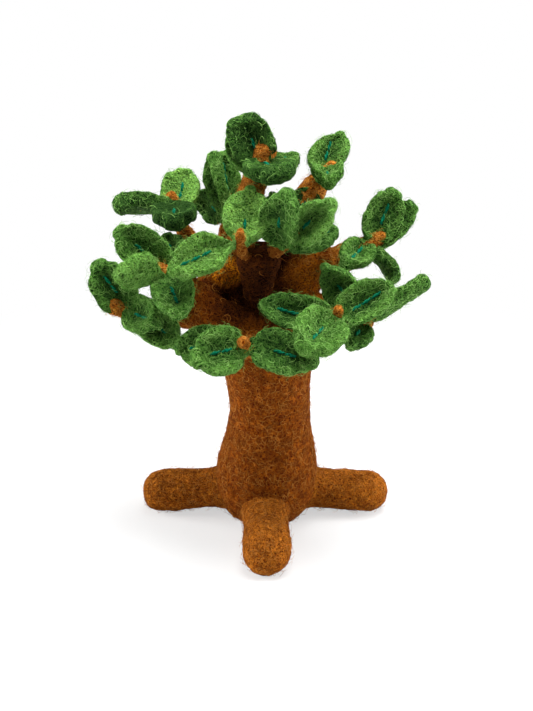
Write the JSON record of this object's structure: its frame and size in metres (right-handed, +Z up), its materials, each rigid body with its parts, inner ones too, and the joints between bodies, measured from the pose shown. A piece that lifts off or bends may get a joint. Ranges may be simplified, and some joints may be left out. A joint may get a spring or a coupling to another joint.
{
  "type": "felt toy tree",
  "caption": "Soft felt toy tree with a stout trunk on spread roots and short wire-cored branches that bend, each carrying a whorl of padded, vein-stitched leaves.",
  "frame": {"origin": "on the ground under the middle of the trunk, at the centre of the trunk's flat underside", "axes": "+Z up, -Y towards the viewer of the picture and along the front root, +X to the viewer's right along the right root"},
  "size_m": [0.1168, 0.094, 0.1512],
  "materials": {
    "trunk_felt": "brown needle-felted wool",
    "root_felt": "reddish brown needle-felted wool",
    "twig_felt": "orange-brown needle-felted wool",
    "leaf_felt": "green needle-felted wool with stitched veins",
    "wire_steel": "soft annealed wire"
  },
  "bodies": {
    "base": {"trunk": "trunk_felt", "root_front": "root_felt", "root_right": "root_felt", "root_back": "root_felt", "root_left": "root_felt", "core_wire": "wire_steel"},
    "high_left": {"branch_high_left": "twig_felt", "leaf_high_left_front": "leaf_felt", "leaf_high_left_up": "leaf_felt", "leaf_high_left_left": "leaf_felt"},
    "mid_left": {"branch_mid_left": "twig_felt", "leaf_mid_left_down": "leaf_felt", "leaf_mid_left_left": "leaf_felt", "leaf_mid_left_up": "leaf_felt", "leaf_mid_left_right": "leaf_felt", "leaf_mid_left_back": "leaf_felt"},
    "far_left": {"branch_far_left": "twig_felt", "leaf_far_left_right": "leaf_felt", "leaf_far_left_up": "leaf_felt", "leaf_far_left_back": "leaf_felt", "leaf_far_left_down": "leaf_felt"},
    "low_front": {"branch_low_front": "twig_felt", "leaf_low_front_right": "leaf_felt", "leaf_low_front_left": "leaf_felt", "leaf_low_front_back": "leaf_felt"},
    "inner_left": {"branch_inner_left": "twig_felt", "leaf_inner_left_left": "leaf_felt", "leaf_inner_left_right": "leaf_felt"},
    "inner_right": {"branch_inner_right": "twig_felt", "leaf_inner_right_right": "leaf_felt", "leaf_inner_right_up": "leaf_felt", "leaf_inner_right_back": "leaf_felt", "leaf_inner_right_far": "leaf_felt"},
    "front_right": {"branch_front_right": "twig_felt", "leaf_front_right_left": "leaf_felt", "leaf_front_right_right": "leaf_felt", "leaf_front_right_back": "leaf_felt"},
    "low_right": {"branch_low_right": "twig_felt", "leaf_low_right_right": "leaf_felt", "leaf_low_right_left": "leaf_felt", "leaf_low_right_down": "leaf_felt"},
    "high_right": {"branch_high_right": "twig_felt", "leaf_high_right_up": "leaf_felt", "leaf_high_right_left": "leaf_felt", "leaf_high_right_down": "leaf_felt", "leaf_high_right_back": "leaf_felt"},
    "top_right": {"branch_top_right": "twig_felt", "leaf_top_right_front": "leaf_felt", "leaf_top_right_up": "leaf_felt", "leaf_top_right_down": "leaf_felt"},
    "top_mid": {"branch_top_mid": "twig_felt", "leaf_top_mid_front": "leaf_felt", "leaf_top_mid_left": "leaf_felt", "leaf_top_mid_back": "leaf_felt", "leaf_top_mid_right": "leaf_felt"},
    "back_left": {"branch_back_left": "twig_felt", "leaf_back_left_up": "leaf_felt", "leaf_back_left_back": "leaf_felt", "leaf_back_left_left": "leaf_felt"}
  },
  "joints": [
    {"name": "bend_high_left", "type": "hinge", "parent": "base", "child": "high_left", "pos_m": [-0.01713, 0.00871, 0.09781], "axis": [0.3254, 0.9456, 0], "range_deg": [-15, 0]},
    {"name": "bend_mid_left", "type": "hinge", "parent": "base", "child": "mid_left", "pos_m": [-0.02355, -0.00612, 0.09269], "axis": [-0.6371, 0.7708, 0], "range_deg": [-15, 9]},
    {"name": "bend_far_left", "type": "hinge", "parent": "base", "child": "far_left", "pos_m": [-0.029, -0.004, 0.08313], "axis": [-0.1713, 0.9852, 0], "range_deg": [-15, 15]},
    {"name": "bend_low_front", "type": "hinge", "parent": "base", "child": "low_front", "pos_m": [-0.00318, -0.01754, 0.07759], "axis": [-0.1075, -0.4915, -0.8643], "range_deg": [-15, 9]},
    {"name": "bend_inner_left", "type": "hinge", "parent": "base", "child": "inner_left", "pos_m": [-0.00566, -0.0108, 0.10739], "axis": [-0.1969, -0.7742, -0.6015], "range_deg": [-6, 15]},
    {"name": "bend_inner_right", "type": "hinge", "parent": "base", "child": "inner_right", "pos_m": [0.0011, -0.00918, 0.10739], "axis": [-0.4563, -0.8898, 0], "range_deg": [-9, 3]},
    {"name": "bend_front_right", "type": "hinge", "parent": "base", "child": "front_right", "pos_m": [0.02042, -0.01372, 0.08335], "axis": [-0.5583, -0.6461, -0.5204], "range_deg": [-3, 12]},
    {"name": "bend_low_right", "type": "hinge", "parent": "base", "child": "low_right", "pos_m": [0.02655, -0.00711, 0.07876], "axis": [-0.6212, -0.7837, 0], "range_deg": [-3, 9]},
    {"name": "bend_high_right", "type": "hinge", "parent": "base", "child": "high_right", "pos_m": [0.01702, 0.00585, 0.09636], "axis": [-0.1231, -0.9924, 0], "range_deg": [-15, 12]},
    {"name": "bend_top_right", "type": "hinge", "parent": "base", "child": "top_right", "pos_m": [0.00931, 0.00978, 0.10151], "axis": [0.8986, 0.1457, -0.414], "range_deg": [-15, 15]},
    {"name": "bend_top_mid", "type": "hinge", "parent": "base", "child": "top_mid", "pos_m": [-0.00854, 0.0072, 0.1028], "axis": [0.0935, -0.9956, 0], "range_deg": [-3, 15]},
    {"name": "bend_back_left", "type": "hinge", "parent": "base", "child": "back_left", "pos_m": [-0.01242, 0.01443, 0.09929], "axis": [0.7278, -0.6858, 0], "range_deg": [-15, 3]}
  ]
}
